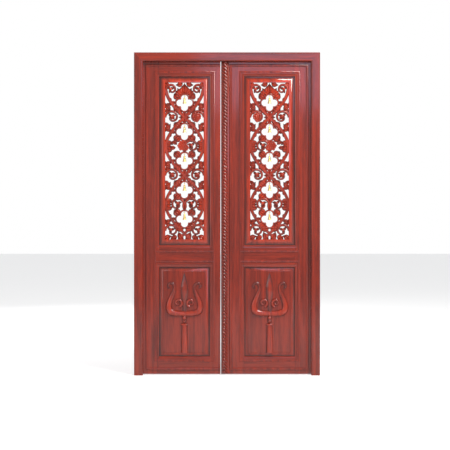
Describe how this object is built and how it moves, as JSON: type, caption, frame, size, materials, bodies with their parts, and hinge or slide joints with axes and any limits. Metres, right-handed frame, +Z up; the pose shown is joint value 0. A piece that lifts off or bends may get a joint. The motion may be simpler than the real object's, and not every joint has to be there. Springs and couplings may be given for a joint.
{
  "type": "front door",
  "caption": "Double-leaf carved teak front door in its rebated frame, with pierced vine panels, trident reliefs, hanging bells and back bolts; the leaves swing inward.",
  "frame": {"origin": "on the floor, midway between the jambs' outer faces and midway front to back", "axes": "+Z up, -Y out of the carved front, +X to the right seen from the front"},
  "size_m": [1.248, 0.108, 2.166],
  "materials": {
    "leaf_teak": "glossy lacquer",
    "carved_teak": "glossy lacquer",
    "frame_teak": "glossy lacquer",
    "bell_brass": "polished",
    "hinge_brass": "satin",
    "bolt_steel": "brushed"
  },
  "bodies": {
    "frame": {"left_jamb": "frame_teak", "right_jamb": "frame_teak", "frame_head": "frame_teak", "frame_screws": "hinge_brass", "left_hinge_pins": "hinge_brass", "right_hinge_pins": "hinge_brass", "left_hinge_low_frame_flap": "hinge_brass", "left_hinge_mid_frame_flap": "hinge_brass", "left_hinge_top_frame_flap": "hinge_brass", "right_hinge_low_frame_flap": "hinge_brass", "right_hinge_mid_frame_flap": "hinge_brass", "right_hinge_top_frame_flap": "hinge_brass", "top_bolt_keeper": "bolt_steel"},
    "left_leaf": {"left_hinge_stile": "leaf_teak", "left_meeting_stile": "leaf_teak", "left_bottom_rail": "leaf_teak", "left_mid_rail": "leaf_teak", "left_top_rail": "leaf_teak", "left_carved_panel": "carved_teak", "left_trident_panel": "carved_teak", "left_edge_bead": "leaf_teak", "left_panel_bead": "leaf_teak", "left_bell_eyes": "bell_brass", "left_leaf_screws": "hinge_brass", "left_hinge_low_leaf_flap": "hinge_brass", "left_hinge_mid_leaf_flap": "hinge_brass", "left_hinge_top_leaf_flap": "hinge_brass", "cross_bolt_plate": "bolt_steel"},
    "right_leaf": {"right_hinge_stile": "leaf_teak", "right_meeting_stile": "leaf_teak", "right_bottom_rail": "leaf_teak", "right_mid_rail": "leaf_teak", "right_top_rail": "leaf_teak", "right_carved_panel": "carved_teak", "right_trident_panel": "carved_teak", "right_edge_bead": "leaf_teak", "right_panel_bead": "leaf_teak", "right_bell_eyes": "bell_brass", "right_leaf_screws": "hinge_brass", "right_hinge_low_leaf_flap": "hinge_brass", "right_hinge_mid_leaf_flap": "hinge_brass", "right_hinge_top_leaf_flap": "hinge_brass", "rope_batten": "carved_teak", "top_bolt_plate": "bolt_steel", "bottom_bolt_plate": "bolt_steel", "cross_bolt_keeper": "bolt_steel"},
    "top_bolt": {"top_bolt_rod": "bolt_steel"},
    "bottom_bolt": {"bottom_bolt_rod": "bolt_steel"},
    "cross_bolt": {"cross_bolt_rod": "bolt_steel"},
    "left_bell_1": {"left_bell_1": "bell_brass"},
    "left_bell_2": {"left_bell_2": "bell_brass"},
    "left_bell_3": {"left_bell_3": "bell_brass"},
    "left_bell_4": {"left_bell_4": "bell_brass"},
    "left_bell_5": {"left_bell_5": "bell_brass"},
    "right_bell_1": {"right_bell_1": "bell_brass"},
    "right_bell_2": {"right_bell_2": "bell_brass"},
    "right_bell_3": {"right_bell_3": "bell_brass"},
    "right_bell_4": {"right_bell_4": "bell_brass"},
    "right_bell_5": {"right_bell_5": "bell_brass"}
  },
  "joints": [
    {"name": "left_leaf_swing", "type": "hinge", "parent": "frame", "child": "left_leaf", "pos_m": [-0.5745, 0.0273, 1.06], "axis": [0, 0, 1], "range_deg": [0, 110]},
    {"name": "right_leaf_swing", "type": "hinge", "parent": "frame", "child": "right_leaf", "pos_m": [0.5745, 0.0273, 1.06], "axis": [0, 0, -1], "range_deg": [0, 110]},
    {"name": "top_bolt_slide", "type": "slide", "parent": "right_leaf", "child": "top_bolt", "axis": [0, 0, 1], "range_m": [0, 0.04]},
    {"name": "bottom_bolt_slide", "type": "slide", "parent": "right_leaf", "child": "bottom_bolt", "axis": [0, 0, -1], "range_m": [0, 0.03]},
    {"name": "cross_bolt_slide", "type": "slide", "parent": "left_leaf", "child": "cross_bolt", "axis": [1, 0, 0], "range_m": [0, 0.04]},
    {"name": "left_bell_1_swing", "type": "hinge", "parent": "left_leaf", "child": "left_bell_1", "pos_m": [-0.2865, -0.006, 1.8783], "axis": [0, 1, 0], "range_deg": [-20, 20]},
    {"name": "left_bell_2_swing", "type": "hinge", "parent": "left_leaf", "child": "left_bell_2", "pos_m": [-0.2865, -0.006, 1.6823], "axis": [0, 1, 0], "range_deg": [-20, 20]},
    {"name": "left_bell_3_swing", "type": "hinge", "parent": "left_leaf", "child": "left_bell_3", "pos_m": [-0.2865, -0.006, 1.4863], "axis": [0, 1, 0], "range_deg": [-20, 20]},
    {"name": "left_bell_4_swing", "type": "hinge", "parent": "left_leaf", "child": "left_bell_4", "pos_m": [-0.2865, -0.006, 1.2903], "axis": [0, 1, 0], "range_deg": [-20, 20]},
    {"name": "left_bell_5_swing", "type": "hinge", "parent": "left_leaf", "child": "left_bell_5", "pos_m": [-0.2865, -0.006, 1.0943], "axis": [0, 1, 0], "range_deg": [-20, 20]},
    {"name": "right_bell_1_swing", "type": "hinge", "parent": "right_leaf", "child": "right_bell_1", "pos_m": [0.2865, -0.006, 1.8783], "axis": [0, 1, 0], "range_deg": [-20, 20]},
    {"name": "right_bell_2_swing", "type": "hinge", "parent": "right_leaf", "child": "right_bell_2", "pos_m": [0.2865, -0.006, 1.6823], "axis": [0, 1, 0], "range_deg": [-20, 20]},
    {"name": "right_bell_3_swing", "type": "hinge", "parent": "right_leaf", "child": "right_bell_3", "pos_m": [0.2865, -0.006, 1.4863], "axis": [0, 1, 0], "range_deg": [-20, 20]},
    {"name": "right_bell_4_swing", "type": "hinge", "parent": "right_leaf", "child": "right_bell_4", "pos_m": [0.2865, -0.006, 1.2903], "axis": [0, 1, 0], "range_deg": [-20, 20]},
    {"name": "right_bell_5_swing", "type": "hinge", "parent": "right_leaf", "child": "right_bell_5", "pos_m": [0.2865, -0.006, 1.0943], "axis": [0, 1, 0], "range_deg": [-20, 20]}
  ]
}
